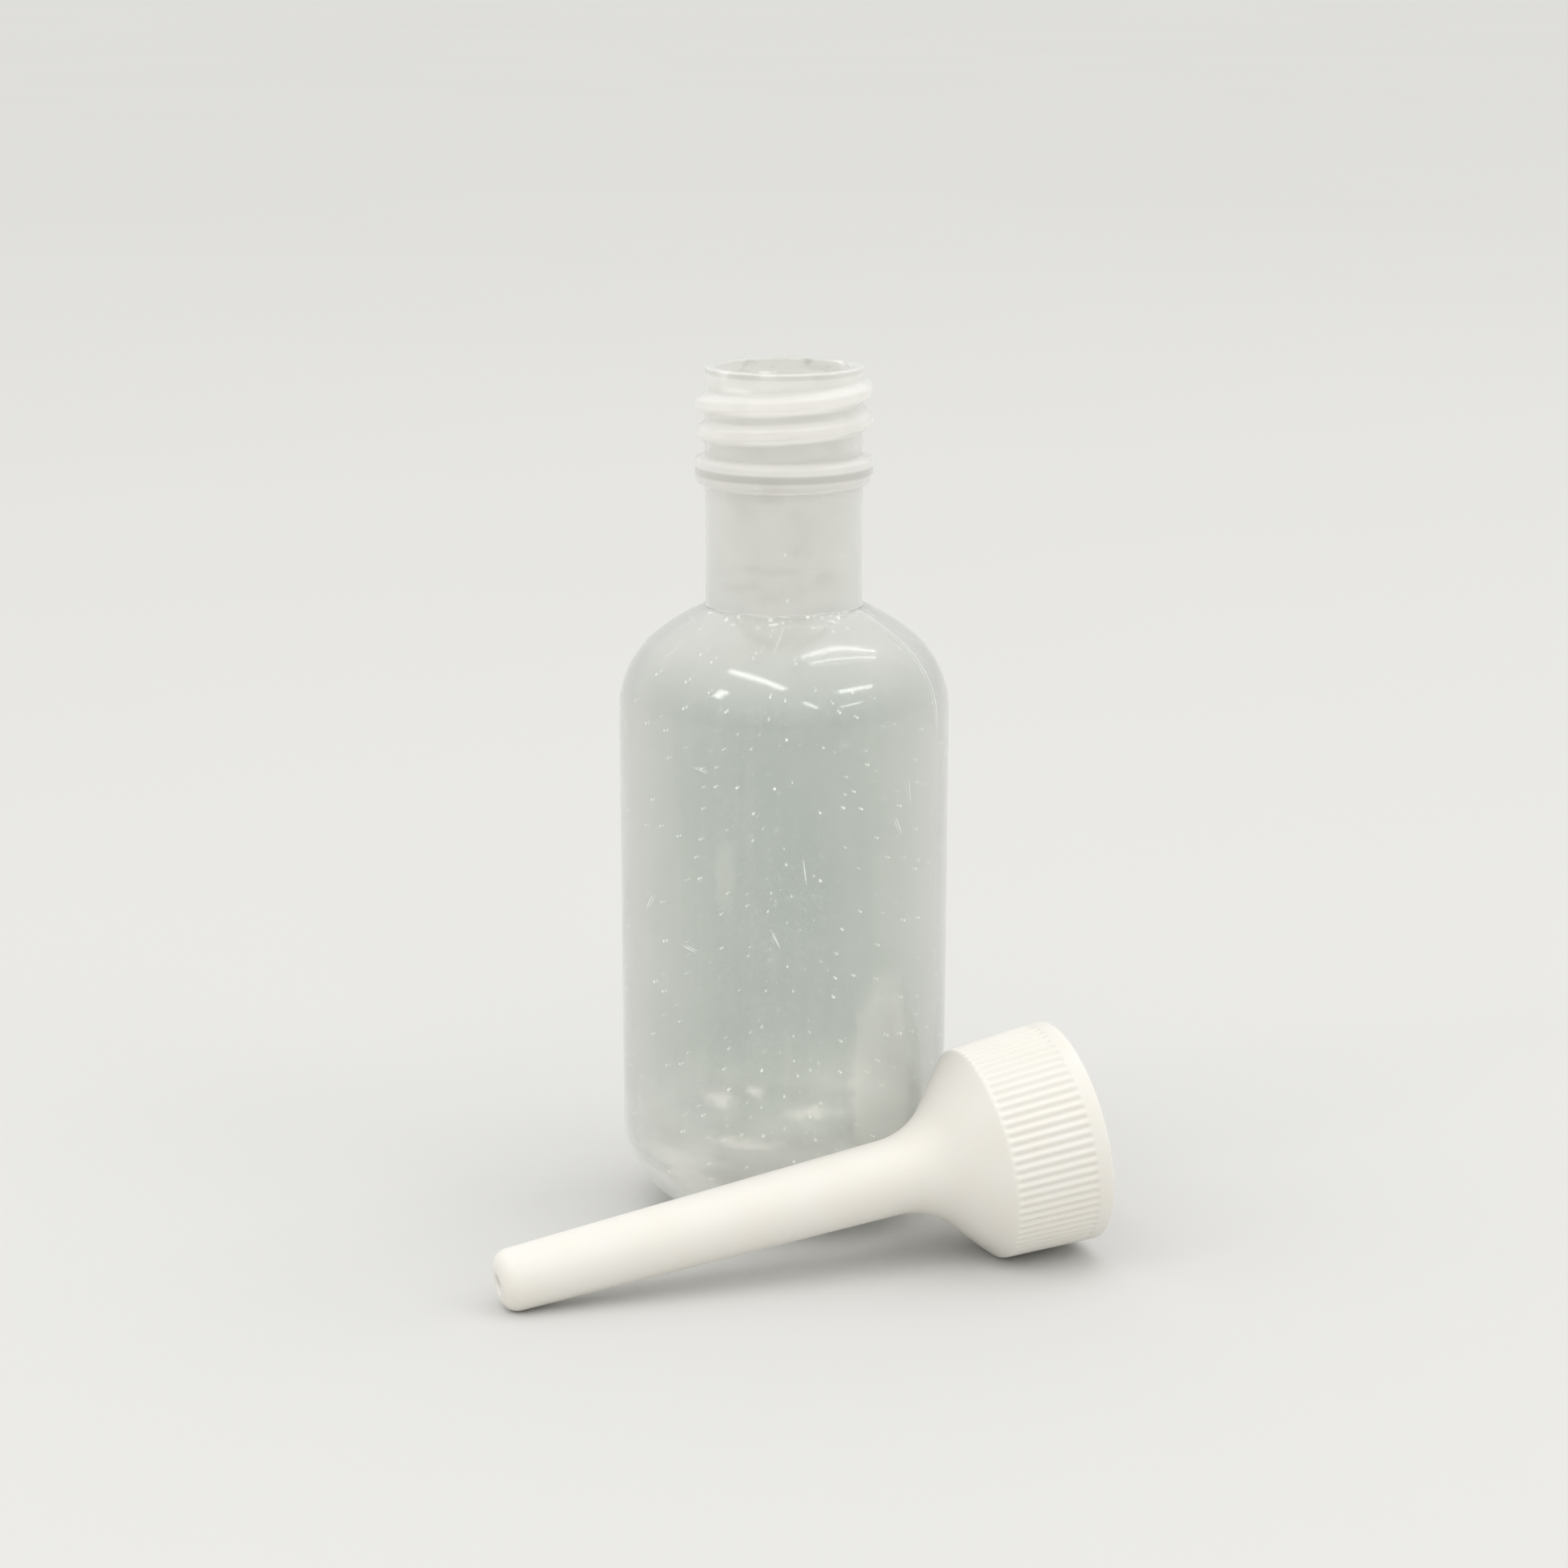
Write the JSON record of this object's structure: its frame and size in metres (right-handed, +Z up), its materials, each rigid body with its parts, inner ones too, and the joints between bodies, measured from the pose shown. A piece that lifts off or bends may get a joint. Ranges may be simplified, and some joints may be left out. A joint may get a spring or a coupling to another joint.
{
  "type": "enema bottle",
  "caption": "Small translucent squeeze bottle with a long threaded neck, and its screw cap with a ribbed skirt, trumpet flare and tapered nozzle, lying in front of it.",
  "frame": {"origin": "middle of the pair's footprint on the table, at the table's height", "axes": "+Z up along the standing bottle's axis, -Y towards the viewer of the picture, and the nozzle points to -X and -Y"},
  "size_m": [0.0686, 0.061, 0.0984],
  "materials": {
    "bottle_plastic": "translucent natural low-density polyethylene, soft gloss, milky where it is thick",
    "cap_plastic": "warm white moulded polyethylene, satin",
    "washer_foam": "white foamed polyethylene liner, matt"
  },
  "bodies": {
    "bottle": {"bottle": "bottle_plastic"},
    "nozzle_cap": {"nozzle_cap": "cap_plastic", "sealing_washer": "washer_foam"}
  },
  "joints": [
    {"name": "cap_lift", "type": "slide", "parent": "bottle", "child": "nozzle_cap", "axis": [0, 0, 1], "range_m": [0, 0.11]}
  ]
}
